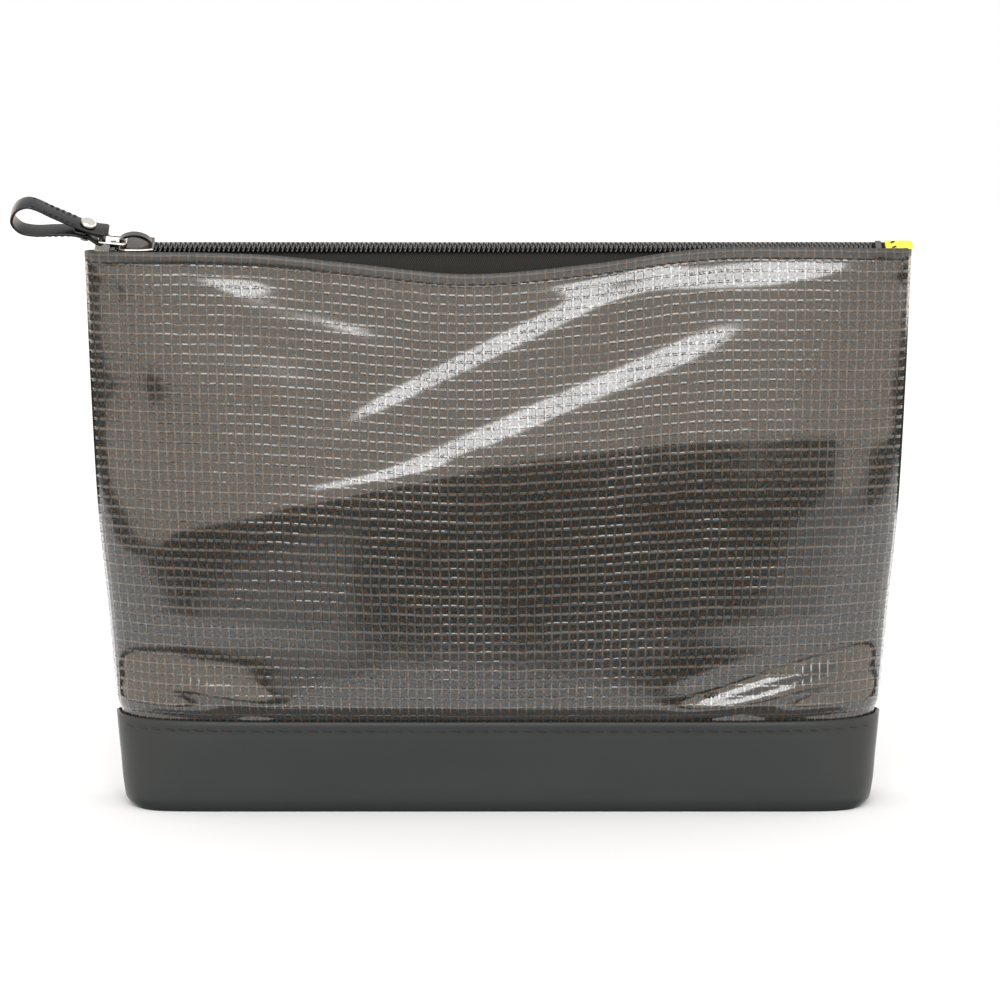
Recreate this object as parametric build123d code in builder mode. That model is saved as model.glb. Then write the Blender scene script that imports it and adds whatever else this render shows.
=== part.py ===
"""Zip-top cash deposit bag: two panels on a boxed base band, a coil zip with a slider and a leather pull."""

import math
import os

from build123d import *

os.makedirs("parts", exist_ok=True)

# ---------------------------------------------------------------- driving dimensions (mm)
# The bag's outer shape at some heights: half width, half depth, and the two
# exponents of the plan outline, boxy at the base and sharp at the side seams above.
HEIGHTS = [0, 3, 15, 28, 45, 60, 90, 130, 160, 172]
HALF_WIDTHS = [113.8, 116.2, 117.5, 118.6, 119.8, 121.0, 123.8, 125.7, 126.7, 127.1]
HALF_DEPTHS = [20.6, 22.0, 22.9, 23.5, 23.4, 22.4, 19.4, 13.4, 8.6, 7.1]
END_POWERS = [24, 22, 13, 8, 4.8, 4.6, 4.6, 5.2, 10, 18]
FALL_POWERS = [0.5, 0.5, 0.5, 0.5, 0.6, 0.62, 0.62, 0.62, 0.62, 0.6]

BAND_TOP = 28.0
BAND_THICK = 1.2
BAND_STITCH_HEIGHT = 25.8
BAND_STITCH_PITCH = 4.36
BAND_STITCH_REACH = 106  # half the row's length
STITCH_PROUD = 0.5  # from the wall's face to the middle of a stitch
PANEL_BOTTOM = 18.5
PANEL_THICK = 0.8
PANEL_PROUD = 0.3  # how far the panel sits inside the bag's outline
LAYER_GAP = 0.15
LINING_THICK = 0.4
LINING_TOP = 162.5
LINING_INSET = 2.7
SEAM_GAP = 0.05  # from the seam plane to each half
BOARD_THICK = 1.6

# Height of the hem's top edge along the front, where it sags open, and along the back.
FRONT_HEM = [
    (-130, 170.2), (-75, 169.3), (-45, 166.6), (-9, 163.4),
    (30, 166.6), (55, 170.2), (75, 171.5), (130, 170.9),
]
BACK_HEM = [(-130, 170.2), (-60, 170.0), (0, 169.0), (60, 170.4), (130, 170.9)]
HEM_STITCH_DROP = 2.6
HEM_STITCH_PITCH = 3.2
HEM_STITCH_REACH = 117

# The zip: its chain is straight and leans towards the front.
CHAIN_HEIGHT = 171.3
CHAIN_TILT = 28.0
TAPE_EDGE = 1.3  # from the chain's middle line
TAPE_FLAT = 4.6
BACK_TAPE_FLAT = 5.3  # the back half turns down more sharply, past the slider
TAPE_LOW, TAPE_HIGH = -0.95, -0.40
TAPE_END = 120.5
TAPE_TURN, TAPE_BOTTOM = 163.0, 156.0  # heights where the tape meets the panel and where it ends
COIL_PITCH = 1.5
TOOTH_WIDTH = 0.62
COIL_LOW, COIL_HIGH = -0.35, 1.05
COIL_OUTER, COIL_SPINE = 2.75, 2.10
TOOTH_REACH = 0.55  # past the middle line where the chain is closed
COIL_START, COIL_END = -117.0, 115.4
CLOSED_FROM = -111.0
PARTED_TOOTH = 1.25

# The slider, in the chain's plane.
SLIDER_NOSE, SLIDER_TAIL = -115.8, -105.3
SLIDER_HALF, SLIDER_TAIL_HALF = 4.1, 3.6
PLATE_BOTTOM, CHANNEL_LOW = -2.0, -1.25
FLANGE_LOW, CHANNEL_HIGH, PLATE_TOP = -0.2, 1.3, 2.0
CHANNEL_HALF = 3.1
NECK_HALF, NECK_LENGTH = 0.95, 3.2
BRIDGE_HALF, BRIDGE_THICK, BRIDGE_TOP = 1.1, 0.8, 5.5

# The pull: a metal link on the slider's bridge and a leather loop on the link.
HINGE_X, HINGE_RISE = -113.9, 2.8
LINK_WIRE = 0.9
LINK_BAR = (-8.0, 0.9)  # the link's far bar, from the hinge, along the chain and up
LINK_HALF = 2.9
LINK_CORNER = 1.2
STRAP_HALF = 3.25
STRAP_HOLE = 0.8
TONGUE_HALF = 1.85  # half width of the wrapped end, which passes through the link
TONGUE_CUT = (4.2, 3.1)  # along the strap and through it
RIVET_RADIUS, POST_RADIUS = 2.5, 1.0

# ---------------------------------------------------------------- shape of the bag


def at_height(values, z):
    """A value read between the heights of the table above."""
    z = min(max(z, HEIGHTS[0]), HEIGHTS[-1])
    for i in range(1, len(HEIGHTS)):
        if z <= HEIGHTS[i]:
            part = (z - HEIGHTS[i - 1]) / (HEIGHTS[i] - HEIGHTS[i - 1])
            return values[i - 1] + part * (values[i] - values[i - 1])
    return values[-1]


def depth_at(x, z, inset):
    """How far the outline stands from the seam plane, at a place and an inset."""
    share = abs(x) / (at_height(HALF_WIDTHS, z) - inset)
    rest = max(0.0, 1 - share ** at_height(END_POWERS, z))
    return SEAM_GAP + (at_height(HALF_DEPTHS, z) - inset) * rest ** at_height(FALL_POWERS, z)


def half_outline(z, inset, side):
    """Points of half the bag's plan, from one side seam to the other; side is -1 at the front."""
    half = at_height(HALF_WIDTHS, z) - inset
    xs = [half * math.sin(math.pi * step / 24) for step in range(-12, 13)]
    return [(x, side * depth_at(x, z, inset)) for x in xs]


def wall(levels, side, hem=None):
    """A thin wall lofted through (height, outer inset, inner inset) levels, cut along its hem line."""
    with BuildPart() as made:
        for z, outer, inner in levels:
            with BuildSketch(Plane.XY.offset(z)):
                with BuildLine():
                    face_out = Spline(*half_outline(z, outer, side))
                    face_in = Spline(*half_outline(z, inner, side))
                    Line(face_out @ 0, face_in @ 0)
                    Line(face_out @ 1, face_in @ 1)
                make_face()
        loft(ruled=True)
        if hem:
            with BuildSketch(Plane.XZ):
                with BuildLine():
                    edge = Spline(*hem)
                    Polyline(edge @ 1, (hem[-1][0], 190), (hem[0][0], 190), edge @ 0)
                make_face()
            extrude(amount=40, both=True, mode=Mode.SUBTRACT)
    return made


def hem_height(hem, x):
    """Height of the hem's edge at x."""
    for (x0, z0), (x1, z1) in zip(hem, hem[1:]):
        if x <= x1:
            return z0 + (z1 - z0) * (x - x0) / (x1 - x0)
    return hem[-1][1]


def panel(hem, side):
    """One body panel, narrower where the base band laps over it."""
    lapped = BAND_THICK + LAYER_GAP
    levels = [(z, lapped, lapped + PANEL_THICK) for z in (PANEL_BOTTOM, BAND_TOP + 0.6)]
    free = PANEL_PROUD + PANEL_THICK
    levels += [(z, PANEL_PROUD, free) for z in (33, 45, 60, 90, 130, 145, 160, 164, 168, 172)]
    return wall(levels, side, hem)


def base_band(side):
    """One half of the base band, turned in a little at the floor."""
    return wall([(z, 0, BAND_THICK) for z in (0, 3, 15, BAND_TOP)], side)


def lining(side):
    """One half of the lining, up to where it is sewn in under the zip tape."""
    inner = LINING_INSET + LINING_THICK
    heights = (3.6, 15, 28, 45, 60, 90, 130, 145, 160, LINING_TOP)
    levels = [(z, LINING_INSET, inner) for z in heights]
    return wall(levels, side)


def plate(low, thick, inset):
    """A flat plate with the bag's plan at the floor, made smaller by an inset."""
    with BuildPart() as made:
        with BuildSketch(Plane.XY.offset(low)):
            with BuildLine():
                Spline(*half_outline(low, inset, -1))
                Spline(*half_outline(low, inset, 1))
                reach = at_height(HALF_WIDTHS, low) - inset
                Line((-reach, -SEAM_GAP), (-reach, SEAM_GAP))
                Line((reach, -SEAM_GAP), (reach, SEAM_GAP))
            make_face()
        extrude(amount=thick)
    return made


def stitch_row(places, size, slant):
    """A row of stitches, each a small bar along the wall; places are (x, y, z, turn)."""
    with BuildPart() as made:
        for x, y, z, turn in places:
            with Locations(Location((x, y, z), (0, slant, turn))):
                Box(*size)
    return made


def wall_places(side, pitch, reach, height, inset):
    """Where the stitches of a row lie on the bag's outside, and how they are turned."""
    count = int(2 * reach / pitch)
    for i in range(count + 1):
        x = (i - count / 2) * pitch
        z = height(x)
        slope = depth_at(x + 0.5, z, inset) - depth_at(x - 0.5, z, inset)
        turn = math.degrees(math.atan(side * slope))
        yield x, side * (depth_at(x, z, inset) + STITCH_PROUD), z, turn


def save(made, name):
    """Names a finished piece and writes it."""
    made.part.label = name
    export_step(made.part, f"parts/{name}.step")


# ---------------------------------------------------------------- panels, band, base, lining
for name, side, hem in (("front", -1, FRONT_HEM), ("back", 1, BACK_HEM)):
    save(panel(hem, side), f"{name}_panel")
    save(base_band(side), f"{name}_base_band")
    save(lining(side), f"{name}_lining")

    band_places = wall_places(side, BAND_STITCH_PITCH, BAND_STITCH_REACH, lambda x: BAND_STITCH_HEIGHT, 0)
    save(stitch_row(band_places, (3.2, 0.4, 0.5), 10), f"{name}_band_stitching")

    def seam_height(x, hem=hem):
        return hem_height(hem, x) - HEM_STITCH_DROP

    hem_places = wall_places(side, HEM_STITCH_PITCH, HEM_STITCH_REACH, seam_height, PANEL_PROUD)
    save(stitch_row(hem_places, (2.3, 0.35, 0.4), 0), f"{name}_top_stitching")

save(plate(0, BAND_THICK, BAND_THICK + LAYER_GAP), "base_panel")
save(plate(BAND_THICK + LAYER_GAP, BOARD_THICK, BAND_THICK + 2 * LAYER_GAP), "base_board")

# ---------------------------------------------------------------- the zip
tilt = math.radians(CHAIN_TILT)
# Local x runs along the chain, local y across it towards the back, local z out of its face.
chain_plane = Plane(
    origin=(0, 0, CHAIN_HEIGHT), x_dir=(1, 0, 0), z_dir=(0, -math.sin(tilt), math.cos(tilt))
)


def chain_point(across, rise):
    """(y, z) in the bag's frame of a point across and above the chain's middle line."""
    y = across * math.cos(tilt) - rise * math.sin(tilt)
    z = CHAIN_HEIGHT + across * math.sin(tilt) + rise * math.cos(tilt)
    return y, z


def chain_block(x0, x1, across0, across1, low, high, mode=Mode.ADD):
    """A block square to the chain; call inside BuildPart."""
    with Locations(chain_plane):
        with Locations(((x0 + x1) / 2, (across0 + across1) / 2, (low + high) / 2)):
            Box(x1 - x0, across1 - across0, high - low, mode=mode)


def zipper_tape(side):
    """One half of the tape: flat beside the chain, then down inside the panel."""
    hidden = PANEL_PROUD + PANEL_THICK + 2 * LAYER_GAP
    thick = TAPE_HIGH - TAPE_LOW
    flat, knee = (TAPE_FLAT, 0.3) if side < 0 else (BACK_TAPE_FLAT, 0.8)
    with BuildPart() as made:
        for x in (-TAPE_END, -112, -95, -60, 0, 60, 95, 112, TAPE_END):
            outer = [(side * depth_at(x, z, hidden), z) for z in (TAPE_TURN, TAPE_BOTTOM)]
            inner = [(side * depth_at(x, z, hidden + thick), z) for z in (TAPE_BOTTOM, TAPE_TURN)]
            outline = [
                chain_point(side * TAPE_EDGE, TAPE_HIGH),
                chain_point(side * flat, TAPE_HIGH),
                *outer,
                *inner,
                chain_point(side * (flat - knee), TAPE_LOW),
                chain_point(side * TAPE_EDGE, TAPE_LOW),
            ]
            with BuildSketch(Plane(origin=(x, 0, 0), x_dir=(0, 1, 0), z_dir=(1, 0, 0))):
                with BuildLine():
                    Polyline(*outline, close=True)
                make_face()
        loft(ruled=True)
    return made


def coil(side, offset):
    """One half of the chain: a spine and the teeth that reach past the middle line."""
    with BuildPart() as made:
        with BuildSketch(chain_plane.offset(COIL_LOW)):
            with Locations(((COIL_START + COIL_END) / 2, side * (COIL_OUTER + COIL_SPINE) / 2)):
                Rectangle(COIL_END - COIL_START, COIL_OUTER - COIL_SPINE)
            parted = int((CLOSED_FROM - COIL_START - TOOTH_WIDTH / 2) / COIL_PITCH)
            closed = int((COIL_END - CLOSED_FROM - offset - TOOTH_WIDTH / 2) / COIL_PITCH)
            for i in range(-parted, closed + 1):
                tip = -TOOTH_REACH if i > 0 else PARTED_TOOTH
                reach = COIL_SPINE + 0.1
                with Locations((CLOSED_FROM + offset + i * COIL_PITCH, side * (reach + tip) / 2)):
                    Rectangle(TOOTH_WIDTH, reach - tip)
        extrude(amount=COIL_HIGH - COIL_LOW)
    return made


save(zipper_tape(-1), "front_zipper_tape")
save(zipper_tape(1), "back_zipper_tape")
save(coil(-1, 0), "front_coil")
save(coil(1, COIL_PITCH / 2), "back_coil")

for name, side in (("front", -1), ("back", 1)):
    with BuildPart() as stop:
        inner, outer = sorted((side * 1.0, side * 3.0))
        chain_block(COIL_START - 1.9, COIL_START - 0.2, inner, outer, COIL_LOW, COIL_HIGH + 0.1)
        fillet(stop.edges().group_by(Axis.Z)[-1], 0.2)
    save(stop, f"{name}_top_stop")

with BuildPart() as bottom_stop:
    chain_block(COIL_END + 0.2, COIL_END + 2.0, -3.0, 3.0, COIL_LOW, COIL_HIGH + 0.1)
    fillet(bottom_stop.edges().group_by(Axis.Z)[-1], 0.2)
save(bottom_stop, "bottom_stop")

with BuildPart() as start_fold:
    chain_block(-TAPE_END - 3.1, -TAPE_END + 1.4, -2.5, 2.5, -1.25, -0.1)
    chain_block(-TAPE_END - 0.2, -TAPE_END + 2, -4, 4, TAPE_LOW - 0.08, TAPE_HIGH + 0.08,
                mode=Mode.SUBTRACT)
save(start_fold, "zipper_start_fold")

with BuildPart() as end_tab:
    chain_block(TAPE_END - 1.8, TAPE_END + 6.5, -2.7, 2.7, -1.3, 1.3)
    chain_block(TAPE_END - 2, TAPE_END + 0.3, -4, 4, TAPE_LOW - 0.08, TAPE_HIGH + 0.08,
                mode=Mode.SUBTRACT)
    with Locations((TAPE_END + 5, 0, 161.35)):
        Box(5, 20, 20, mode=Mode.SUBTRACT)
save(end_tab, "zipper_end_tab")

tab_places = [(TAPE_END + along, across) for along, across in ((0.4, 1.5), (0.7, -1.4))]
with BuildPart() as tab_stitches:
    with BuildSketch(chain_plane.offset(1.33)):
        with Locations(*tab_places):
            Rectangle(1.3, 0.5, rotation=35)
    extrude(amount=0.3)
save(tab_stitches, "end_tab_stitching")

# ---------------------------------------------------------------- the slider
with BuildPart() as slider_body:
    with BuildSketch(chain_plane.offset(PLATE_BOTTOM)):
        with BuildLine():
            Polyline(
                (SLIDER_NOSE, SLIDER_TAIL_HALF), (SLIDER_NOSE + 1.8, SLIDER_HALF),
                (SLIDER_TAIL - 3.2, SLIDER_HALF), (SLIDER_TAIL, SLIDER_TAIL_HALF),
                (SLIDER_TAIL, -SLIDER_TAIL_HALF), (SLIDER_TAIL - 3.2, -SLIDER_HALF),
                (SLIDER_NOSE + 1.8, -SLIDER_HALF), (SLIDER_NOSE, -SLIDER_TAIL_HALF), close=True,
            )
        make_face()
    extrude(amount=PLATE_TOP - PLATE_BOTTOM)
    chamfer(slider_body.faces().sort_by(SortBy.AREA)[-2:].edges(), 0.3)
    ends = (SLIDER_NOSE - 1, SLIDER_TAIL + 1)
    chain_block(*ends, -CHANNEL_HALF, CHANNEL_HALF, CHANNEL_LOW, CHANNEL_HIGH, Mode.SUBTRACT)
    chain_block(*ends, -5, 5, CHANNEL_LOW, FLANGE_LOW, Mode.SUBTRACT)
    with BuildSketch(chain_plane.offset(CHANNEL_LOW - 0.1)):
        with BuildLine():
            Polyline(
                (SLIDER_NOSE + 0.3, 0.5), (SLIDER_NOSE + 1, NECK_HALF),
                (SLIDER_NOSE + 1.8, NECK_HALF), (SLIDER_NOSE + NECK_LENGTH, 0.15),
                (SLIDER_NOSE + NECK_LENGTH, -0.15), (SLIDER_NOSE + 1.8, -NECK_HALF),
                (SLIDER_NOSE + 1, -NECK_HALF), (SLIDER_NOSE + 0.3, -0.5), close=True,
            )
        make_face()
    extrude(amount=CHANNEL_HIGH - CHANNEL_LOW + 0.2)
save(slider_body, "slider_body")

# Profile planes stand across the chain: local x along the chain, local y up from its face.
across_dir = (0, -math.cos(tilt), -math.sin(tilt))
arch_plane = Plane(origin=(0, 0, CHAIN_HEIGHT), x_dir=(1, 0, 0), z_dir=across_dir)
with BuildPart() as slider_bridge:
    left, right = SLIDER_NOSE, SLIDER_TAIL - 0.6
    with BuildSketch(arch_plane):
        with BuildLine():
            top_arc = ThreePointArc((left, 3.8), (left + 4.6, BRIDGE_TOP), (right, 2.9))
            low_arc = ThreePointArc(
                (left + BRIDGE_THICK, 3.5), (left + 4.6, BRIDGE_TOP - BRIDGE_THICK), (right - 1, 2.6)
            )
            Polyline(top_arc @ 0, (left, PLATE_TOP), (left + BRIDGE_THICK, PLATE_TOP), low_arc @ 0)
            Polyline(top_arc @ 1, (right, PLATE_TOP), (right - 1, PLATE_TOP), low_arc @ 1)
        make_face()
    extrude(amount=BRIDGE_HALF, both=True)
save(slider_bridge, "slider_bridge")

# ---------------------------------------------------------------- the pull
hinge_y, hinge_z = chain_point(0, HINGE_RISE)
pull_plane = Plane(origin=(HINGE_X, hinge_y, hinge_z), x_dir=(1, 0, 0), z_dir=across_dir)
bar_angle = math.degrees(math.atan2(LINK_BAR[1], -LINK_BAR[0]))
link_length = math.hypot(*LINK_BAR)
link_plane = Plane(
    origin=pull_plane.origin,
    x_dir=pull_plane.x_dir.rotate(Axis((0, 0, 0), across_dir), -bar_angle),
    z_dir=pull_plane.y_dir.rotate(Axis((0, 0, 0), across_dir), -bar_angle),
)
with BuildPart() as pull_link:
    reach = LINK_HALF - LINK_WIRE / 2
    with BuildLine(link_plane) as ring:
        FilletPolyline(
            (0, reach), (0, -reach), (-link_length, -reach), (-link_length, reach),
            radius=LINK_CORNER, close=True,
        )
    with BuildSketch(Plane(origin=ring.line @ 0, z_dir=ring.line % 0)):
        Circle(LINK_WIRE / 2)
    sweep()
save(pull_link, "pull_link")

upper_run = [(-28.2, 14.1), (-14.2, 7.0), (-8.4, 4.9), (-4.6, 4.3)]
lower_run = [(-27.5, 3.0), (-15.5, 3.2), (-11.5, 1.9), (LINK_BAR[0], LINK_BAR[1] - 1.75)]
loop_tip = (-16.6, 5.1)
rivet_place, rivet_slope = (-11.1, 5.95), -20.5
rivet_plane = Plane(
    origin=pull_plane.from_local_coords(Vector(*rivet_place)),
    x_dir=pull_plane.x_dir.rotate(Axis((0, 0, 0), across_dir), rivet_slope),
    z_dir=pull_plane.y_dir.rotate(Axis((0, 0, 0), across_dir), rivet_slope),
)
with BuildPart() as loop_strap:
    with BuildSketch(pull_plane):
        with BuildLine():
            bend = ThreePointArc(lower_run[0], (-34.7, 8.0), upper_run[0])
            Polyline(*upper_run, (-4.7, 3.2), (-6.6, 2.1))
            ThreePointArc((-6.6, 2.1), (-6.35, 0.1), lower_run[-1])
            under = Spline(*lower_run[1:])
            Line(lower_run[0], under @ 0)
        make_face()
        with BuildLine():
            ThreePointArc((-27.3, 4.1), (-33.6, 8.1), (-28.5, 12.9))
            Polyline((-28.5, 12.9), loop_tip, (-27.3, 4.1))
        make_face(mode=Mode.SUBTRACT)
        with Locations(LINK_BAR):
            Circle(STRAP_HOLE, mode=Mode.SUBTRACT)
    extrude(amount=STRAP_HALF, both=True)
    with BuildSketch(rivet_plane.offset(-8)):
        Circle(POST_RADIUS + 0.05)
    extrude(amount=10, mode=Mode.SUBTRACT)
    for sign in (-1, 1):
        with BuildSketch(pull_plane.offset(sign * (TONGUE_HALF + STRAP_HALF) / 2)):
            with Locations((LINK_BAR[0] + 1.2, LINK_BAR[1] - 0.3)):
                Rectangle(*TONGUE_CUT)
        extrude(amount=(STRAP_HALF - TONGUE_HALF) / 2 + 0.01, both=True, mode=Mode.SUBTRACT)
save(loop_strap, "loop_strap")


def run_places(start, end, pitch):
    """Stitch places along a straight run: (along, up, angle)."""
    length = math.dist(start, end)
    angle = math.degrees(math.atan2(end[1] - start[1], end[0] - start[0]))
    for i in range(int(length / pitch) + 1):
        share = i * pitch / length
        yield start[0] + share * (end[0] - start[0]), start[1] + share * (end[1] - start[1]), angle


runs = [((-27.0, 13.68), (-15.0, 7.6)), ((-26.6, 2.82), (-16.4, 2.98))]
with BuildPart() as loop_stitching:
    for start, end in runs:
        for along, up, angle in run_places(start, end, 2.2):
            for row in (-2.4, 2.4):
                with BuildSketch(pull_plane.offset(row - 0.2)):
                    with Locations((along, up)):
                        Rectangle(1.4, 0.24, rotation=angle)
    extrude(amount=0.4)
save(loop_stitching, "loop_stitching")

with BuildPart() as rivet_cap:
    with BuildSketch(rivet_plane.offset(0.1)):
        Circle(RIVET_RADIUS)
    extrude(amount=1.2)
    fillet(rivet_cap.edges().sort_by(Axis.Z)[-1], 1.0)
save(rivet_cap, "rivet_cap")

with BuildPart() as rivet_post:
    with BuildSketch(rivet_plane.offset(-4.4)):
        Circle(POST_RADIUS)
    extrude(amount=4.4)
    with BuildSketch(rivet_plane.offset(-5.0)):
        Circle(2.0)
    extrude(amount=0.6)
save(rivet_post, "rivet_post")
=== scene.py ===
"""The looks of a zip-top cash deposit bag, built round its CAD frame.

Shapes are worked out in millimetres and turned into metres as each mesh is made. -Y is the front.
"""

import math

import bmesh
import bpy
from mathutils import Matrix, Vector, noise


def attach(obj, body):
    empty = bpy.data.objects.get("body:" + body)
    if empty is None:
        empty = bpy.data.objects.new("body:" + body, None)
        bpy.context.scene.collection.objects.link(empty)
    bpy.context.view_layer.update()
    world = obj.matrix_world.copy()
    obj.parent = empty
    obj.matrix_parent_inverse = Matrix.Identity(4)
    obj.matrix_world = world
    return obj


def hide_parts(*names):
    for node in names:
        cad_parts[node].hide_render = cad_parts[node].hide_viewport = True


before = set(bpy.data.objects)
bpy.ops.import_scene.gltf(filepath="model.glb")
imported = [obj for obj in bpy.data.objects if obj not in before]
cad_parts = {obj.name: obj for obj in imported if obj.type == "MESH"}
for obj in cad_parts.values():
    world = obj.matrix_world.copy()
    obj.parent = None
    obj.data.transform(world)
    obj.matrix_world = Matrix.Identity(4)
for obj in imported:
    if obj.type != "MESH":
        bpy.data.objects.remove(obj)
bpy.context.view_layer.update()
MM = 0.001

# ---------------------------------------------------------------- the bag's shape, as in the CAD
HEIGHTS = [0, 3, 15, 28, 45, 60, 90, 130, 160, 172]
HALF_WIDTHS = [113.8, 116.2, 117.5, 118.6, 119.8, 121.0, 123.8, 125.7, 126.7, 127.1]
HALF_DEPTHS = [20.6, 22.0, 22.9, 23.5, 23.4, 22.4, 19.4, 13.4, 8.6, 7.1]
END_POWERS = [24, 22, 13, 8, 4.8, 4.6, 4.6, 5.2, 10, 18]
FALL_POWERS = [0.5, 0.5, 0.5, 0.5, 0.6, 0.62, 0.62, 0.62, 0.62, 0.6]
SEAM_GAP = 0.05
BAND_TOP, BAND_THICK = 28.0, 1.2
PANEL_LOW, PANEL_PROUD, PANEL_THICK = 19.0, 0.3, 0.6
FRONT_HEM = [
    (-130, 170.2), (-75, 169.3), (-45, 166.6), (-9, 163.4),
    (30, 166.6), (55, 170.2), (75, 171.5), (130, 170.9),
]
BACK_HEM = [(-130, 170.2), (-60, 170.0), (0, 169.0), (60, 170.4), (130, 170.9)]
HEM_FOLD, HEM_PROUD, HEM_GROOVE, HEM_EXTRA = 2.7, 0.30, 0.22, 0.5
BAND_SWELL, BAND_GROOVE = 0.28, 0.24
LINING_LOW, LINING_HEIGHT, LINING_INSET, LINING_THICK = 4, 161, 2.5, 0.4
TOP_HALF = 127.0  # half the width at the hem
BAND_STITCH_PITCH, BAND_STITCH_COUNT, BAND_STITCH_HEIGHT = 4.36, 52, 25.6
HEM_STITCH_PITCH, HEM_STITCH_SPAN = 3.2, 248
BAND_STITCH_SIZE, HEM_STITCH_SIZE = (3.5, 0.55, 0.62), (3.0, 0.5, 0.55)  # along, out, up
TAPE_END, TAPE_BOTTOM, TAPE_INSET, TAPE_HALF_THICK = 120.5, 156.0, 1.7, 0.27
TAPE_EDGE, TAPE_FLAT, TAPE_MIDDLE = 1.3, 4.6, -0.67  # across the chain, and out of its face
COIL_PITCH, COIL_START, COIL_END, CLOSED_FROM = 1.5, -117.0, 115.2, -111.0
COIL_INNER, COIL_PARTED, COIL_OUTER = -0.62, 1.95, 2.5  # across the chain
COIL_MIDDLE, COIL_HALF_HEIGHT, COIL_WIRE, COIL_TURN_STEPS = 0.36, 0.52, 0.32, 12
CHAIN_HEIGHT, CHAIN_TILT = 171.3, math.radians(28)
GRID_COLUMNS, GRID_ROWS = 93, 51
BULGE_TOP = 172.0
PANEL_COLUMNS, BAND_COLUMNS, LINING_COLUMNS, TAPE_COLUMNS, STRAP_COLUMNS = 190, 170, 90, 120, 150


def smooth_step(low, high, value):
    """0 below low, 1 above high, and a smooth rise between."""
    part = min(1.0, max(0.0, (value - low) / (high - low)))
    return part * part * (3 - 2 * part)


def along(points, at):
    """A value on the smooth line through (place, value) points."""
    at = min(max(at, points[0][0]), points[-1][0])
    last = len(points) - 1
    i = next(k for k in range(last) if at <= points[k + 1][0])
    (x0, y0), (x1, y1) = points[i], points[i + 1]

    def slope(k):
        low, high = max(0, k - 1), min(last, k + 1)
        return (points[high][1] - points[low][1]) / (points[high][0] - points[low][0])

    part, span = (at - x0) / (x1 - x0), x1 - x0
    rise = part * part * (3 - 2 * part)
    bend = part * (1 - part) ** 2 * slope(i) - part * part * (1 - part) * slope(i + 1)
    return y0 + rise * (y1 - y0) + bend * span


WIDTH_LINE = list(zip(HEIGHTS, HALF_WIDTHS))
DEPTH_LINE = list(zip(HEIGHTS, HALF_DEPTHS))
END_LINE = list(zip(HEIGHTS, END_POWERS))
FALL_LINE = list(zip(HEIGHTS, FALL_POWERS))


def fall(u, z):
    """How much of its full depth the bag keeps at a share u of its half width."""
    return max(0.0, 1 - abs(u) ** along(END_LINE, z)) ** along(FALL_LINE, z)


def plain_depth(u, z, inset):
    """Depth from the seam plane at a share of the width, a height and an inset."""
    return SEAM_GAP + (along(DEPTH_LINE, z) - inset) * fall(u, z)


# The front panel bulges: its lean changes along two lines that run across it.
ARCH_LINE = [(-123, 73.2), (-83, 87), (-30, 100.9), (31, 109.5), (93, 113.2), (125, 108.6)]
FOOT_LINE = [(-123, 51.7), (-61, 47), (-24, 41.8), (7, 36.3), (44, 33.2), (125, 36.0)]
FOOT_LEAN, ARCH_LEAN, SEAM_LEAN = 0.25, 3.75, -3.0


def ridge(x, z, start, end, height, wide, ends=0.18):
    """A soft fold along a line from start to end, fading towards both."""
    dx, dz = end[0] - start[0], end[1] - start[1]
    length = math.hypot(dx, dz)
    share = ((x - start[0]) * dx + (z - start[1]) * dz) / length**2
    off = ((z - start[1]) * dx - (x - start[0]) * dz) / length
    fade = smooth_step(-ends, ends, share) * (1 - smooth_step(1 - ends, 1 + ends, share))
    return height * fade * math.exp(-((off / wide) ** 2))


STREAKS = [  # start, end, extra lean in degrees, width
    ((-64, 99), (-10, 106), 10.5, 2.8),
    ((-44, 99), (70, 147), 8.5, 4.4),
    ((-52, 118), (56, 170), 8.5, 3.4),
    ((14, 160), (118, 167), 7.5, 3.0),
    ((-126, 166), (-66, 160), 8.0, 3.0),
    ((-84, 158), (-34, 145), 6.0, 3.5),
    ((-116, 150), (-56, 132), 7.0, 8.0),
]


def lean(x, z, steep):
    """How far the front leans back at a place, in degrees."""
    foot, arch = along(FOOT_LINE, x), along(ARCH_LINE, x)
    if z < foot:
        return SEAM_LEAN + (FOOT_LEAN - SEAM_LEAN) * smooth_step(BAND_TOP, foot, z)
    if z < arch:
        return FOOT_LEAN + (ARCH_LEAN - FOOT_LEAN) * (z - foot) / (arch - foot)
    streaks = sum(ridge(x, z, *streak) for streak in STREAKS) * smooth_step(arch, arch + 5, z)
    return ARCH_LEAN + (steep - ARCH_LEAN) * smooth_step(arch, arch + 9, z) + streaks


def front_column(x, top=BULGE_TOP, step=1.0):
    """(height, depth) points up the front at x, leaning just enough to meet the hem."""
    heights = [BAND_TOP + i * step for i in range(int((top - BAND_TOP) / step) + 1)]
    start, end = along(DEPTH_LINE, BAND_TOP), along(DEPTH_LINE, top)

    def fallen(steep):
        return sum(math.tan(math.radians(lean(x, z, steep))) * step for z in heights[1:])

    shallow, steeper = fallen(5), fallen(15)
    steep = 5 + 10 * (start - end - shallow) / (steeper - shallow)
    depth, column = start, [(BAND_TOP, start)]
    for z in heights[1:]:
        depth -= math.tan(math.radians(lean(x, z, steep))) * step
        column.append((z, depth))
    return column


FRONT_FOLDS = [  # start, end, height, width
    ((52, 27), (122, 47), 1.5, 3.6),
    ((66, 25), (124, 38), 1.2, 2.6),
    ((60, 36), (122, 54), -1.0, 4.0),
    ((-122, 44), (-70, 33), 1.0, 3.4),
    ((-122, 35), (-80, 28), 0.9, 2.6),
]
COLUMN_SHARES = 96
bulges = [front_column(TOP_HALF * (2 * i / COLUMN_SHARES - 1)) for i in range(COLUMN_SHARES + 1)]


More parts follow.
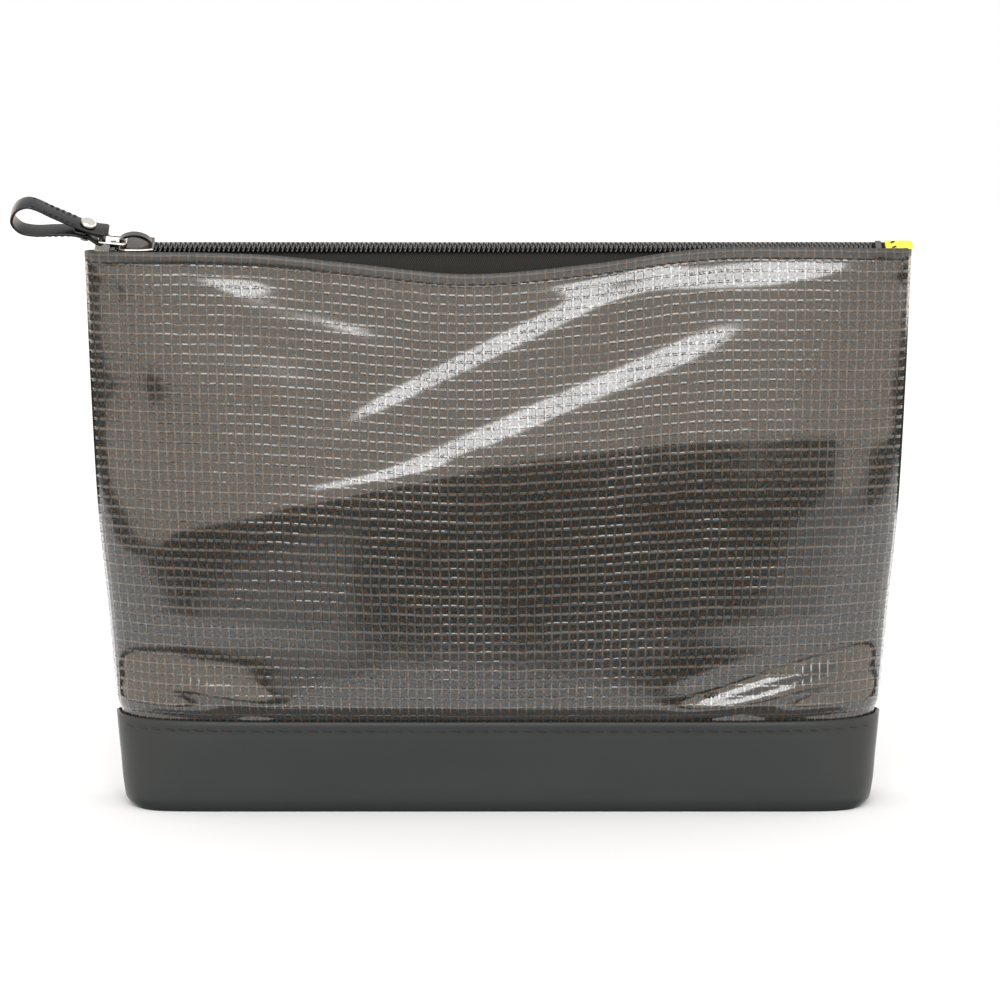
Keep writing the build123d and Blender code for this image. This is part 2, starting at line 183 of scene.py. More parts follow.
def front_depth(u, z):
    """Depth of the bulging front before it falls away to the side seams."""
    if z <= BAND_TOP:
        return along(DEPTH_LINE, z)
    place = (min(max(u, -1), 1) + 1) / 2 * COLUMN_SHARES
    i = min(int(place), COLUMN_SHARES - 1)
    part, row = place - i, min(z - BAND_TOP, BULGE_TOP - BAND_TOP - 0.001)
    j = int(row)

    def read(column):
        return column[j][1] + (column[j + 1][1] - column[j][1]) * (row - j)

    return read(bulges[i]) * (1 - part) + read(bulges[i + 1]) * part


def wall_depth(side, u, z, inset):
    """Depth of the finished wall from the seam plane, with its bulges."""
    full = front_depth(u, z) if side < 0 else along(DEPTH_LINE, z)
    return SEAM_GAP + max(0.0, full - inset) * fall(u, z)


def seam_ridge(u, z):
    """The seam allowances inside each side edge push the panel out a little."""
    from_edge = (1 - abs(u)) * along(WIDTH_LINE, z)
    return 0.35 * math.exp(-(((from_edge - 4.2) / 1.5) ** 2))


# ---------------------------------------------------------------- making pieces


def mesh_piece(name, bm, body, material, replaces):
    """Turns a finished bmesh, in millimetres, into a piece that rides on a body."""
    mesh = bpy.data.meshes.new(name)
    bmesh.ops.scale(bm, vec=(MM, MM, MM), verts=bm.verts)
    bm.to_mesh(mesh)
    bm.free()
    piece = bpy.data.objects.new(name, mesh)
    bpy.context.scene.collection.objects.link(piece)
    mesh.materials.append(material)
    mesh.shade_smooth()
    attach(piece, body)
    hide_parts(*replaces)
    return piece


def wrapped(columns, rows, place, pattern=None):
    """A closed skin: place(u, row) gives each point, and pattern(u, row) its weave coordinates."""
    bm = bmesh.new()
    bmesh.ops.create_grid(bm, x_segments=columns, y_segments=rows, size=1)
    weave = bm.loops.layers.uv.new("weave")
    spots = {}
    for vert in bm.verts:
        u, row = vert.co.x, round((vert.co.y + 1) / 2 * rows)
        spots[vert] = pattern(u, row) if pattern else (u, row / rows)
        vert.co = place(u, row)
    for face in bm.faces:
        for corner in face.loops:
            corner[weave].uv = spots[corner.vert]
    bmesh.ops.remove_doubles(bm, verts=bm.verts, dist=0.001)
    ends = [edge for edge in bm.edges if edge.is_boundary]
    bmesh.ops.holes_fill(bm, edges=ends, sides=0)
    bmesh.ops.recalc_face_normals(bm, faces=bm.faces)
    return bm


def panel_rows(rows_out=118, rows_in=22):
    """The panel's closed section as (share of the height, inset from its face) points."""
    outer = [(i / rows_out, 0.0) for i in range(rows_out + 1)]
    over = [(1.0035, 0.15), (1.0045, 0.45), (1.0035, 0.8), (1.0, 1.0)]
    inner = [(1 - i / rows_in, 1.0) for i in range(1, rows_in + 1)]
    return outer + over + inner + [outer[0]]


def make_panel(name, side, hem, material):
    """One body panel with its folded hem, bulges and folds."""
    rows = panel_rows()

    def place(u, row):
        share, inward = rows[row]
        top = along(hem, u * TOP_HALF)
        z = PANEL_LOW + share * (top - PANEL_LOW)
        x = u * along(WIDTH_LINE, z)
        depth = front_depth(u, z) if side < 0 else along(DEPTH_LINE, z)
        lapped = 1 - smooth_step(BAND_TOP + 0.2, BAND_TOP + 5, z)
        inset = PANEL_PROUD + 1.15 * lapped
        out = seam_ridge(u, z) * (1 - lapped)
        if side < 0:
            free = smooth_step(BAND_TOP, BAND_TOP + 6, z) * (1 - smooth_step(top - 9, top - 3, z))
            edge = 1 - abs(u) ** 8
            out += free * edge * sum(ridge(x, z, *fold) for fold in FRONT_FOLDS)
        from_top = top - z
        out += HEM_PROUD * (1 - smooth_step(HEM_FOLD - 0.4, HEM_FOLD + 0.3, from_top))
        out -= HEM_GROOVE * math.exp(-(((from_top - HEM_FOLD) / 0.45) ** 2))
        thick = PANEL_THICK + HEM_EXTRA * (1 - smooth_step(HEM_FOLD - 0.4, HEM_FOLD + 0.4, from_top))
        reach = max(0.0, depth - inset - inward * thick) * fall(u, z)
        shrink = 1 - (inset + inward * thick) / TOP_HALF * abs(u)
        return x * shrink, side * (SEAM_GAP + reach + out * fall(u, z) ** 0.5), z

    def pattern(u, row):
        return (u + 1) / 2, rows[row][0]

    bm = wrapped(PANEL_COLUMNS, len(rows) - 1, place, pattern)
    piece = mesh_piece(f"{name}_panel_skin", bm, "bag", material, [f"{name}_panel"])
    return piece


def make_band(name, side, material):
    """One half of the base band, with its top edge turned in."""
    count = 20
    outer = [(BAND_TOP * i / count, 0.0) for i in range(count + 1)]
    over = [(28.25, 0.15), (28.35, 0.5), (28.2, 0.95), (27.8, 1.15)]
    inner = [(z, BAND_THICK) for z in (26, 20, 12, 6, 3, 0)]
    rows = outer + over + inner + [outer[0]]

    def place(u, row):
        z, inset = rows[row]
        swell = BAND_SWELL * math.exp(-(((z - 26.9) / 0.9) ** 2))
        swell -= BAND_GROOVE * math.exp(-(((z - BAND_STITCH_HEIGHT) / 0.55) ** 2))
        wave = 0.22 * noise.noise(Vector((u * 5, side * 7.7, z * 0.07)))
        depth = along(DEPTH_LINE, z) - inset
        x = u * (along(WIDTH_LINE, z) - inset)
        out = (swell + wave * smooth_step(1, 8, z)) * (inset < 0.5)
        return x, side * (SEAM_GAP + depth * fall(u, z) + out * fall(u, z) ** 0.5), z

    bm = wrapped(BAND_COLUMNS, len(rows) - 1, place)
    piece = mesh_piece(f"{name}_band_skin", bm, "bag", material, [f"{name}_base_band"])
    return piece


def make_lining(name, side, material):
    """One half of the lining, slightly loose inside the panel."""
    count = 40
    outer = [(LINING_LOW + LINING_HEIGHT * i / count, LINING_INSET) for i in range(count + 1)]
    inner = [(z, inset + LINING_THICK) for z, inset in reversed(outer)]
    rows = outer + inner + [outer[0]]

    def place(u, row):
        z, inset = rows[row]
        loose = 0.3 * noise.noise(Vector((u * 7, side * 5.0, z * 0.05))) * (1 - abs(u) ** 4) - 0.3
        x = u * (along(WIDTH_LINE, z) - inset)
        return x, side * (SEAM_GAP + (along(DEPTH_LINE, z) - inset + loose) * fall(u, z)), z

    bm = wrapped(LINING_COLUMNS, len(rows) - 1, place)
    piece = mesh_piece(f"{name}_lining_cloth", bm, "bag", material, [f"{name}_lining"])
    return piece


def chain_frame(x=0.0, rise=0.0):
    """Placement of the chain: x along it, y across it towards the back, z out of its face."""
    turn = Matrix.Rotation(CHAIN_TILT, 4, "X")
    return Matrix.Translation((x, 0, CHAIN_HEIGHT)) @ turn @ Matrix.Translation((0, 0, rise))


def make_tape(name, side, hem, material):
    """One half of the zip tape: flat by the chain, then down behind the hem."""
    chain = chain_frame()

    def section(x):
        """The tape's middle line at x, from its inner edge down to its sewn edge."""
        u = x / TOP_HALF
        knee = chain @ Vector((x, side * TAPE_FLAT, TAPE_MIDDLE))
        flat_edge = chain @ Vector((x, side * TAPE_EDGE, TAPE_MIDDLE))
        points = [flat_edge.lerp(knee, i / 5) for i in range(6)]
        top = along(hem, x)
        down = []
        for z in (top + 1.0, top - 2, top - 5, TAPE_BOTTOM):
            z = min(z, knee.z - 1.2)
            down.append(Vector((x, side * plain_depth(u, z, TAPE_INSET), z)))
        return points + down

    count = len(section(0))

    def place(u, row):
        x = u * TAPE_END
        line = section(x)
        back = row >= count
        i = 2 * count - 1 - row if back else row
        if row == 2 * count:
            i, back = 0, False
        before, after = line[max(0, i - 1)], line[min(count - 1, i + 1)]
        run = (after - before).normalized()
        out = Vector((0, side * run.z, -side * run.y)) * TAPE_HALF_THICK
        return line[i] + (out if back else -out)

    bm = wrapped(TAPE_COLUMNS, 2 * count, place)
    piece = mesh_piece(f"{name}_tape_cloth", bm, "bag", material, [f"{name}_zipper_tape"])
    return piece


def wire_piece(name, points, radius, body, material, replaces):
    """A round wire along points in millimetres, as a mesh."""
    curve = bpy.data.curves.new(name, "CURVE")
    curve.dimensions = "3D"
    spline = curve.splines.new("POLY")
    spline.points.add(len(points) - 1)
    for point, (x, y, z) in zip(spline.points, points):
        point.co = (x * MM, y * MM, z * MM, 1)
    curve.bevel_depth = radius * MM
    curve.bevel_resolution = 1
    curve.use_fill_caps = True
    holder = bpy.data.objects.new(name + "_line", curve)
    bpy.context.scene.collection.objects.link(holder)
    shaped = holder.evaluated_get(bpy.context.evaluated_depsgraph_get())
    mesh = bpy.data.meshes.new_from_object(shaped)
    bpy.data.objects.remove(holder)
    mesh.name = name
    piece = bpy.data.objects.new(name, mesh)
    bpy.context.scene.collection.objects.link(piece)
    mesh.materials.clear()
    mesh.materials.append(material)
    mesh.shade_smooth()
    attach(piece, body)
    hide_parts(*replaces)
    return piece


def make_coil(name, side, offset, material):
    """One half of the chain: a flattened helix of nylon monofilament."""
    chain = chain_frame()
    turns = int((COIL_END - COIL_START) / COIL_PITCH)
    points = []
    for i in range(turns * COIL_TURN_STEPS + 1):
        angle = 2 * math.pi * i / COIL_TURN_STEPS
        x = COIL_START + offset + COIL_PITCH * i / COIL_TURN_STEPS
        parted = 1 - smooth_step(CLOSED_FROM - 3, CLOSED_FROM, x)
        inner = COIL_INNER + COIL_PARTED * parted
        across = (inner + COIL_OUTER) / 2 + (COIL_OUTER - inner) / 2 * math.cos(angle)
        rise = COIL_MIDDLE + COIL_HALF_HEIGHT * math.sin(angle)
        points.append(chain @ Vector((x, side * across, rise)))
    replaced = [f"{name}_coil"]
    return wire_piece(f"{name}_coil_wire", points, COIL_WIRE, "bag", material, replaced)


def stitch_bars(places, size):
    """Thread stitches: one small rounded bar at each placement."""
    bm = bmesh.new()
    for place in places:
        made = bmesh.ops.create_uvsphere(bm, u_segments=8, v_segments=6, radius=0.5)
        bmesh.ops.scale(bm, vec=size, verts=made["verts"])
        bmesh.ops.transform(bm, matrix=place, verts=made["verts"])
    return bm


def wall_stitch(x, z, side, depth, slant=0.0):
    """Placement of a stitch on the bag's wall: x along the wall, y out of it, z up."""
    u = x / along(WIDTH_LINE, z)
    ahead = depth(min(0.999, u + 0.004), z) - depth(max(-0.999, u - 0.004), z)
    turn = math.atan2(side * ahead, 0.008 * along(WIDTH_LINE, z))
    spot = Matrix.Translation((x, side * depth(u, z), z))
    return spot @ Matrix.Rotation(turn, 4, "Z") @ Matrix.Rotation(slant, 4, "Y")


def make_band_stitches(name, side, material):
    """Slanted topstitches under the band's turned edge."""
    places = []
    for i in range(BAND_STITCH_COUNT + 1):
        x = (i - BAND_STITCH_COUNT / 2) * BAND_STITCH_PITCH
        spot = wall_stitch(
            x, BAND_STITCH_HEIGHT, side, lambda u, z: plain_depth(u, z, 0.05), math.radians(9)
        )
        places.append(spot)
    bm = stitch_bars(places, BAND_STITCH_SIZE)
    replaced = [f"{name}_band_stitching"]
    return mesh_piece(f"{name}_band_thread", bm, "bag", material, replaced)


def make_hem_stitches(name, side, hem, material):
    """The row of topstitches that holds the hem."""
    count = int(HEM_STITCH_SPAN / HEM_STITCH_PITCH)
    places = []
    for i in range(count + 1):
        x = (i - count / 2) * HEM_STITCH_PITCH
        z = along(hem, x) - HEM_FOLD
        places.append(wall_stitch(x, z, side, lambda u, z: wall_depth(side, u, z, 0.28)))
    bm = stitch_bars(places, HEM_STITCH_SIZE)
    replaced = [f"{name}_top_stitching"]
    return mesh_piece(f"{name}_hem_thread", bm, "bag", material, replaced)


# The pull's strap, in the pull's own plane: along the chain and up from its face, off the hinge.
HINGE_X, HINGE_RISE = -113.9, 2.8
STRAP_PATH = [
    (-4.9, 3.8), (-8.6, 4.3), (-14.3, 6.35), (-21.2, 9.85), (-28.2, 13.4), (-32.2, 12.2), (-34.1, 8.2),
    (-31.8, 4.7), (-27.4, 3.6), (-21.5, 3.8), (-16.0, 3.7), (-12.0, 2.5), (-9.6, 0.5), (-8.0, -0.45),
    (-6.75, 0.2), (-6.65, 1.5), (-8.4, 2.7), (-11.2, 3.7), (-15.4, 4.9),
]
STRAP_HALF, TONGUE_HALF, STRAP_THICK = 3.25, 1.85, 1.15
STRAP_SIDES = 24  # points round the strap's section
STITCH_LINE, STITCH_SINK = 2.4, 0.12  # from the strap's middle line, and into its face
LOOP_STITCH_PITCH, LOOP_STITCH_SIZE = 1.9, (1.35, 0.42, 0.34)
LOOP_RUNS = [((-27.0, 13.7), (-15.0, 7.6)), ((-26.6, 2.8), (-16.4, 3.0))]


def pull_place(along_chain, up, across):
    """A point of the pull's plane in the bag's frame."""
    return chain_frame(HINGE_X, HINGE_RISE) @ Vector((along_chain, across, up))


def make_strap(material):
    """The leather strap: out from the rivet, round the loop, round the link and back under itself."""
    lengths = [0.0]
    for before, after in zip(STRAP_PATH, STRAP_PATH[1:]):
        lengths.append(lengths[-1] + math.dist(before, after))
    line_x = list(zip(lengths, (point[0] for point in STRAP_PATH)))
    line_up = list(zip(lengths, (point[1] for point in STRAP_PATH)))
    total = lengths[-1]
    narrow_from, narrow_to = lengths[11], lengths[17]  # the wrapped end, inside the link

    def place(u, row):
        run = (u + 1) / 2 * total
        here = Vector((along(line_x, run), along(line_up, run)))
        ahead = Vector((along(line_x, run + 0.2), along(line_up, run + 0.2)))
        behind = Vector((along(line_x, run - 0.2), along(line_up, run - 0.2)))
        way = (ahead - behind).normalized()
        out = Vector((way.y, -way.x))
        tongue = smooth_step(narrow_from - 2, narrow_from + 1, run)
        tongue *= 1 - smooth_step(narrow_to, narrow_to + 1, run)
        half = STRAP_HALF + (TONGUE_HALF - STRAP_HALF) * tongue
        end = min(run, total - run)
        half -= 0.7 * (1 - smooth_step(0, 0.9, end)) ** 2
        turn = 2 * math.pi * row / STRAP_SIDES
        side_share = math.copysign(abs(math.cos(turn)) ** 0.35, math.cos(turn))
        rise = math.copysign(abs(math.sin(turn)) ** 0.7, math.sin(turn)) * STRAP_THICK / 2
        groove = 0.10 * math.exp(-(((abs(side_share) * half - STITCH_LINE) / 0.35) ** 2))
        groove *= abs(math.sin(turn)) > 0.2
        rise -= math.copysign(groove, rise)
        spot = here + out * rise
        return pull_place(spot.x, spot.y, side_share * half)

    bm = wrapped(STRAP_COLUMNS, STRAP_SIDES, place)
    return mesh_piece("pull_strap_leather", bm, "pull_loop", material, ["loop_strap"])


def make_loop_stitches(material):
    """Two rows of stitches on each run of the strap."""
    places = []
    for start, end in LOOP_RUNS:
        length = math.dist(start, end)
        slope = math.atan2(end[1] - start[1], end[0] - start[0])
        for i in range(int(length / LOOP_STITCH_PITCH) + 1):
            share = i * LOOP_STITCH_PITCH / length
            x, up = (start[k] + share * (end[k] - start[k]) for k in (0, 1))
            up -= STITCH_SINK if start[1] > 8 else -STITCH_SINK
            for row in (-STITCH_LINE, STITCH_LINE):
                spot = chain_frame(HINGE_X, HINGE_RISE) @ Matrix.Translation((x, row, up))
                places.append(spot @ Matrix.Rotation(-slope, 4, "Y"))
    bm = stitch_bars(places, LOOP_STITCH_SIZE)
    return mesh_piece("pull_strap_thread", bm, "pull_loop", material, ["loop_stitching"])


# ---------------------------------------------------------------- materials


class Wire:
    """A node's output, with arithmetic that adds Math nodes."""

    def __init__(self, tree, socket):
        self.tree, self.socket = tree, socket

    def math(self, operation, *others):
        return combine(self.tree, operation, self, *others)

    def __add__(self, other):
        return self.math("ADD", other)

    def __sub__(self, other):
        return self.math("SUBTRACT", other)

    def __rsub__(self, other):
        return combine(self.tree, "SUBTRACT", other, self)

    def __mul__(self, other):
        return self.math("MULTIPLY", other)

    __radd__ = __add__
    __rmul__ = __mul__


def join(tree, entry, value):
    """Links a wire to a socket, or sets the socket."""
    if isinstance(value, Wire):
        tree.links.new(value.socket, entry)
    else:
        entry.default_value = value


def combine(tree, operation, *values):
    """A Math node on wires and numbers."""
    node = tree.nodes.new("ShaderNodeMath")
    node.operation = operation
    for entry, value in zip(node.inputs, values):
        join(tree, entry, value)
    return Wire(tree, node.outputs[0])


class Nodes:
    """The nodes of one shader tree."""

    def __init__(self, tree):
        self.tree = tree

    def node(self, kind, settings=None, output=None, **sockets):
        """Any node: its type, its settings, which are set first, and its sockets' values or links."""
        made = self.tree.nodes.new("ShaderNode" + kind)
        for key, value in (settings or {}).items():
            setattr(made, key, value)
        entries = {entry.name: entry for entry in made.inputs if entry.enabled}
        for label, value in sockets.items():
            join(self.tree, entries[label.replace("_", " ")], value)
        found = made.outputs[output] if output else next(out for out in made.outputs if out.enabled)
        return Wire(self.tree, found)

    def parts(self, vector):
        """The x, y and z of a vector, as three wires."""
        first = self.node("SeparateXYZ", Vector=vector)
        return [Wire(self.tree, out) for out in first.socket.node.outputs]

    def vector(self, x, y, z=0.0):
        return self.node("CombineXYZ", X=x, Y=y, Z=z)

    def noise(self, vector, scale, detail=2.0, roughness=0.5):
        return self.node("TexNoise", Vector=vector, Scale=scale, Detail=detail, Roughness=roughness)

    def span(self, value, low, high, to_low=0.0, to_high=1.0):
        """A value eased from one range to another and held at its ends."""
        return self.node(
            "MapRange", {"interpolation_type": "SMOOTHSTEP"},
            Value=value, From_Min=low, From_Max=high, To_Min=to_low, To_Max=to_high,
        )

    def mix(self, factor, first, second):
        """Two colours mixed."""
        return self.node("Mix", {"data_type": "RGBA"}, Factor=factor, A=first, B=second)


class Finish(Nodes):
    """A procedural finish: one shader and the nodes that feed it."""

    def __init__(self, name, **settings):
        self.material = bpy.data.materials.new(name)
        self.material.use_nodes = True
        super().__init__(self.material.node_tree)
        self.shader = self.tree.nodes["Principled BSDF"]
        self.set(**settings)

    def set(self, **settings):
        for label, value in settings.items():
            join(self.tree, self.shader.inputs[label.replace("_", " ")], value)

    def weave(self):
        """The piece's own weave coordinates, across and up."""
        return self.parts(self.node("UVMap", {"uv_map": "weave"}))[:2]

    def place(self):
        """Object coordinates, as a vector."""
        return self.node("TexCoord", output="Object")

    def bump(self, height, distance, strength=1.0):
        """Feeds the shader's normal with a relief of that depth in metres."""
        self.set(Normal=self.node("Bump", Height=height, Distance=distance, Strength=strength))


def film_mesh():
    """Clear glossy film pressed over a woven grid on a brown-grey ground."""
    made = Finish("film_mesh", IOR=1.62, Coat_Roughness=0.05, Coat_IOR=1.9)
    across, up = made.weave()
    columns, rows = across * GRID_COLUMNS, up * GRID_ROWS
    wander = made.noise(made.vector(columns * 0.3, rows * 0.3), 1.0, 3.0) * 0.3
    upright = ((columns + wander).math("FRACT") - 0.5).math("ABSOLUTE")
    level = ((rows + wander).math("FRACT") - 0.5).math("ABSOLUTE")
    odd_row = (((rows + wander + 0.5) * 0.5).math("FRACT")).math("GREATER_THAN", 0.5)
    broken = made.span(made.noise(made.vector(columns * 0.9, rows * 0.9, 3.0), 1.0, 1.0), 0.35, 0.6)
    hem_edge = made.span(up, 0.984, 0.994)

    speckle = made.noise(made.vector(columns * 4.4, rows * 3.6), 1.0, 1.0, 0.8)
    tint = made.noise(made.vector(columns * 3.8 + 31, rows * 3.0 + 7), 1.0, 1.0, 0.8)
    ground = made.mix(made.span(tint, 0.42, 0.58), (0.040, 0.0185, 0.0065, 1), (0.002, 0.019, 0.026, 1))
    thread = made.span(upright, 0.38, 0.46) * (0.25 + 0.75 * odd_row) * (0.35 + 0.65 * broken)
    threaded = made.mix(thread * 0.35, ground, (0.15, 0.105, 0.070, 1))
    lines = made.span(level, 0.40, 0.47) * (0.4 + 0.6 * odd_row)
    made.set(Base_Color=made.mix(lines * 0.3, threaded, (0.16, 0.145, 0.125, 1)))
    grid = made.span(upright.math("MAXIMUM", level), 0.36, 0.46)
    made.set(Coat_Weight=made.span(speckle, 0.42, 0.58, 0.02, 0.55) * (0.35 + 0.65 * grid) * (1 - hem_edge))
    made.set(Roughness=made.span(speckle, 0.40, 0.60, 0.15, 0.06) + hem_edge * 0.45)

    patches = made.noise(made.vector(columns * 0.11, rows * 0.13, 9.0), 1.0, 2.0)
    bold = made.span(patches, 0.38, 0.64, 0.4, 1.5)
    dash = 1 - made.span(upright, 0.30, 0.40)
    upright_rise = made.span(upright, 0.34, 0.5) * bold * 0.00004
    level_rise = made.span(level, 0.33, 0.5) * dash * (0.35 + 0.65 * broken) * bold * 0.00009
    uneven = made.noise(made.vector(columns * 0.9, rows * 0.9), 1.0, 2.0) * 0.000018
    made.bump(upright_rise + level_rise + uneven, 1.0)
    return made.material


def base_leather():
    """Dark slate leather-look sheet with a faint grain."""
    made = Finish("base_leather", Roughness=0.5, Specular_IOR_Level=0.3, Coat_Weight=0.08, Coat_Roughness=0.3)
    spot = made.place()
    cells = made.node("TexVoronoi", {"feature": "DISTANCE_TO_EDGE"}, Vector=spot, Scale=1500.0)
    cloud = made.noise(spot, 28.0, 3.0)
    made.set(Base_Color=made.mix(cloud, (0.0145, 0.0180, 0.0185, 1), (0.0195, 0.0230, 0.0235, 1)))
    made.bump(cells.math("MINIMUM", 0.18) + made.noise(spot, 500.0, 3.0) * 0.3, 0.00006, 0.6)
    return made.material


def plain_cloth(name, dark, light, pitch, roughness=0.85):
    """A plain woven cloth."""
    made = Finish(name, Roughness=roughness, Specular_IOR_Level=0.2)
    x, _, z = made.parts(made.place())
    warp = (x * (math.pi * 2 / pitch)).math("SINE")
    weft = (z * (math.pi * 2 / pitch)).math("SINE")
    over = warp * weft
    made.set(Base_Color=made.mix(made.span(over, -0.6, 0.6), dark, light))
    made.bump(over, 0.0001)
    return made.material


def tape_cloth():
    """Black herringbone zip tape."""
    made = Finish("tape_cloth", Roughness=0.8, Specular_IOR_Level=0.15)
    x, y, _ = made.parts(made.place())
    side = (y * 900.0).math("PINGPONG", 1.0)
    rib = ((x + side * 0.0009) * (math.pi * 2 / 0.0007)).math("SINE")
    crest = made.span(rib, -0.8, 0.8)
    made.set(Base_Color=made.mix(crest, (0.010, 0.010, 0.009, 1), (0.026, 0.026, 0.024, 1)))
    made.bump(rib, 0.00008)
    return made.material


def thread_finish(name, dark, light):
    """Twisted sewing thread."""
    made = Finish(name, Roughness=0.55)
    x, _, z = made.parts(made.place())
    twist = ((x + z) * (math.pi * 2 / 0.00045)).math("SINE")
    made.set(Base_Color=made.mix(made.span(twist, -0.7, 0.7), dark, light))
    made.bump(twist, 0.00005)
    return made.material


def coil_nylon():
    """Black nylon monofilament, glossy."""
    made = Finish("coil_nylon", Roughness=0.12, Specular_IOR_Level=1.0)
    spot = made.place()
    cloud = made.noise(spot, 900.0)
    made.set(Base_Color=made.mix(cloud, (0.003, 0.003, 0.003, 1), (0.008, 0.008, 0.008, 1)))
    made.bump(made.noise(spot, 2500.0), 0.00002)
    return made.material


def plated(name, dark, light, roughness):
    """Polished plated metal with faint handling marks."""
    made = Finish(name, Metallic=1.0)
    spot = made.place()
    cloud = made.noise(spot, 260.0, 3.0)
    made.set(Base_Color=made.mix(cloud, dark, light))
    made.set(Roughness=made.span(made.noise(spot, 900.0, 4.0), 0.3, 0.8, roughness, roughness + 0.16))
    made.bump(made.noise(spot, 1200.0, 2.0), 0.00002, 0.5)
    return made.material


def loop_leather():
    """Smooth black leather with a fine grain."""
    made = Finish(
        "loop_leather", Roughness=0.3, Specular_IOR_Level=0.4, Coat_Weight=0.12, Coat_Roughness=0.12
    )
    spot = made.place()
    cells = made.node("TexVoronoi", {"feature": "DISTANCE_TO_EDGE"}, Vector=spot, Scale=2200.0)
    cloud = made.noise(spot, 120.0)
    made.set(Base_Color=made.mix(cloud, (0.0025, 0.003, 0.003, 1), (0.007, 0.008, 0.008, 1)))
    made.bump(cells.math("MINIMUM", 0.2), 0.00004, 0.6)
    return made.material


FILM = film_mesh()
LEATHER = base_leather()
LINING = plain_cloth("lining_cloth", (0.012, 0.012, 0.012, 1), (0.03, 0.03, 0.03, 1), 0.0009)
BOARD = plain_cloth("board", (0.25, 0.22, 0.18, 1), (0.31, 0.28, 0.24, 1), 0.004, 0.95)
TAPE = tape_cloth()
THREAD = thread_finish("dark_thread", (0.006, 0.006, 0.006, 1), (0.022, 0.022, 0.022, 1))
COIL = coil_nylon()
DARK_METAL = plated("dark_metal", (0.10, 0.093, 0.087, 1), (0.20, 0.188, 0.175, 1), 0.14)
BRIGHT_METAL = plated("bright_metal", (0.60, 0.57, 0.53, 1), (0.78, 0.76, 0.72, 1), 0.10)
YELLOW = plain_cloth("yellow_tab", (0.70, 0.62, 0.055, 1), (0.86, 0.79, 0.11, 1), 0.0008, 0.6)
FOLD = plain_cloth("clear_fold", (0.26, 0.25, 0.24, 1), (0.42, 0.41, 0.40, 1), 0.0009, 0.35)
LOOP = loop_leather()

NODE_FINISHES = {
    "base_panel": LEATHER, "base_board": BOARD, "front_top_stop": DARK_METAL, "back_top_stop": DARK_METAL,
    "bottom_stop": DARK_METAL, "zipper_start_fold": FOLD, "zipper_end_tab": YELLOW,
    "end_tab_stitching": THREAD, "slider_body": DARK_METAL, "slider_bridge": DARK_METAL,
    "pull_link": BRIGHT_METAL, "rivet_cap": BRIGHT_METAL, "rivet_post": BRIGHT_METAL,
}

# ---------------------------------------------------------------- building the bag
for name, side, hem in (("front", -1, FRONT_HEM), ("back", 1, BACK_HEM)):
    make_panel(name, side, hem, FILM)
    make_band(name, side, LEATHER)
    make_lining(name, side, LINING)
    make_tape(name, side, hem, TAPE)
    make_band_stitches(name, side, THREAD)
    make_hem_stitches(name, side, hem, THREAD)
make_strap(LOOP)
make_loop_stitches(THREAD)
make_coil("front", -1, 0.0, COIL)
make_coil("back", 1, COIL_PITCH / 2, COIL)

for node, finish in NODE_FINISHES.items():
    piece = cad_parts[node]
    piece.data.materials.clear()
    piece.data.materials.append(finish)

# ---------------------------------------------------------------- floor, light and camera


def make_floor():
    """A plain pale floor, which the film's gloss doesn't pick up."""
    bm = bmesh.new()
    bmesh.ops.create_grid(bm, x_segments=1, y_segments=1, size=4)
    mesh = bpy.data.meshes.new("floor")
    bm.to_mesh(mesh)
    bm.free()
    floor = bpy.data.objects.new("floor", mesh)
    bpy.context.scene.collection.objects.link(floor)
    floor.visible_glossy = False
    made = Finish("floor_white", Base_Color=(0.80, 0.81, 0.82, 1), Roughness=0.9, Specular_IOR_Level=0.0)
    mesh.materials.append(made.material)


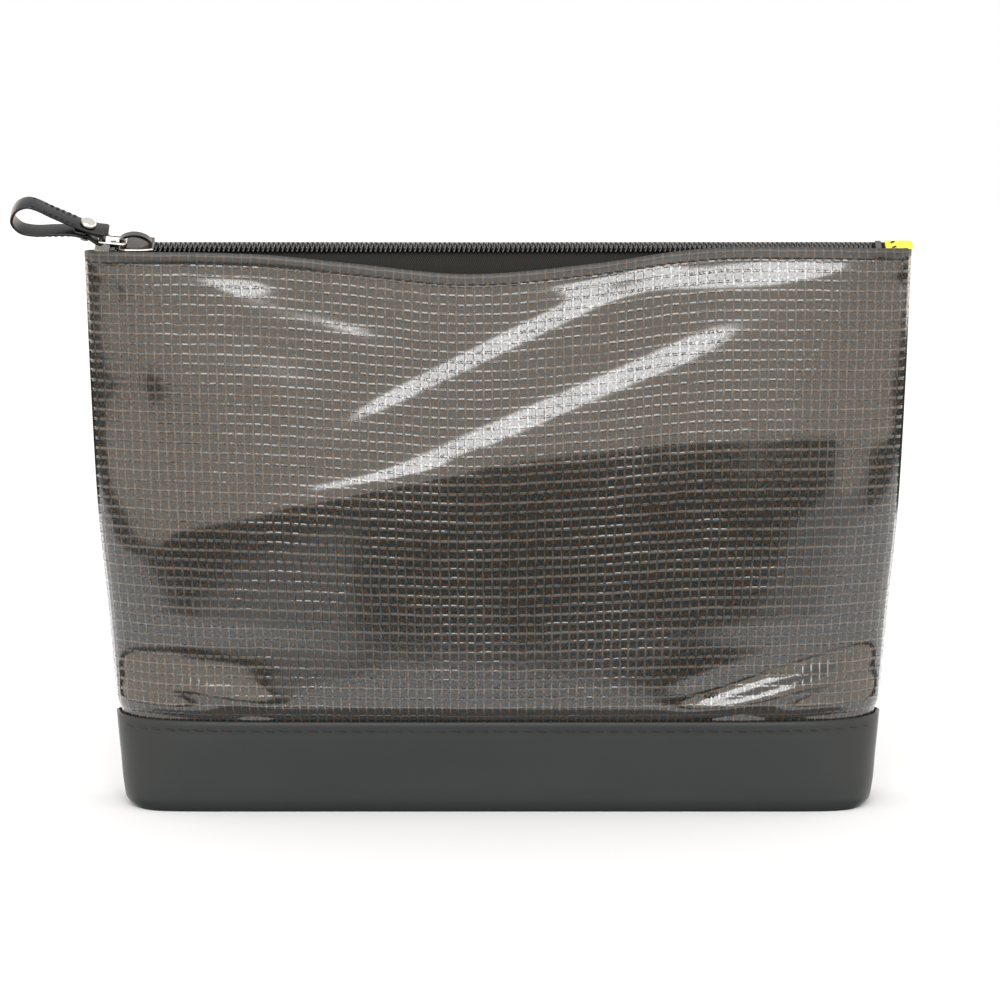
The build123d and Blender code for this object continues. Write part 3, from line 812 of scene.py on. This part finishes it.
def make_world():
    """A soft studio: light above and below, a dark band at eye level, and one bright panel.

    Angles are in degrees, up from the horizon and round from straight behind the camera.
    """
    world = bpy.data.worlds.new("studio")
    bpy.context.scene.world = world
    world.use_nodes = True
    studio = Nodes(world.node_tree)
    x, y, z = studio.parts(studio.node("TexCoord", output="Generated"))
    elevation = z.math("ARCSINE") * (180 / math.pi)
    azimuth = x.math("ARCTAN2", y * -1.0) * (180 / math.pi)
    turned = azimuth.math("ABSOLUTE")

    # The sky starts 2.3 degrees up behind the camera, at the horizon further round, and 5 below it aside.
    aside = studio.span(turned, 32.0, 46.0)
    horizon = studio.span(turned, 14.0, 8.0) * 2.3
    above = studio.span(elevation + aside * 5.0 - horizon, -0.1, 0.3)
    # The ground's light starts 8 degrees down. Between them is the dark band, with two soft patches.
    below = studio.span(elevation, -7.9, -8.4)
    left = studio.span(azimuth, -2.5, -4.0) * studio.span(azimuth, -34.0, -30.0)
    left = left * studio.span(elevation - azimuth * 0.22, 0.2, -0.8)
    slanted = elevation * 5.6 + 52.0
    right = studio.span(azimuth - slanted, 0.0, 2.5) * studio.span(azimuth, 64.0, 56.0)
    band = 0.03 + (left + right) * 0.85

    # The bright panel stands 25 to 45 degrees up.
    key = studio.span(elevation, 24.0, 27.0) * studio.span(elevation, 46.0, 43.0)
    key = key * studio.span(turned, 24.0, 20.0)
    sky = above * studio.span(elevation, 20.0, 40.0, 1.7, 1.0) + key * 8.0
    ground = below * studio.span(elevation, -34.0, -26.0, 0.35, 1.6)
    light = band * (1 - above) * (1 - below) + sky + ground

    # The camera itself sees plain white, and the low sky is a little warmer than the rest.
    seen = studio.node("LightPath", output="Is Camera Ray")
    light = light * (1 - seen) + seen
    warmth = studio.span(elevation, 28.0, 22.0) * above * (1 - seen)
    background = world.node_tree.nodes["Background"]
    join(studio.tree, background.inputs["Strength"], light)
    join(studio.tree, background.inputs["Color"], studio.mix(warmth, (1, 1, 1, 1), (1.12, 1.0, 0.88, 1)))


def make_camera():
    """A long lens nearly level with the bag."""
    camera = bpy.data.cameras.new("camera")
    camera.sensor_width = 36
    camera.lens = 134
    eye = bpy.data.objects.new("camera", camera)
    bpy.context.scene.collection.objects.link(eye)
    target = Vector((0.0006, 0, 0.0937))
    away, height = 1.15, math.radians(7)
    eye.location = target + Vector((0, -math.cos(height), math.sin(height))) * away
    eye.rotation_euler = (target - eye.location).to_track_quat("-Z", "Y").to_euler()
    bpy.context.scene.camera = eye


make_floor()
make_world()
make_camera()
bpy.context.scene.view_settings.view_transform = "Standard"
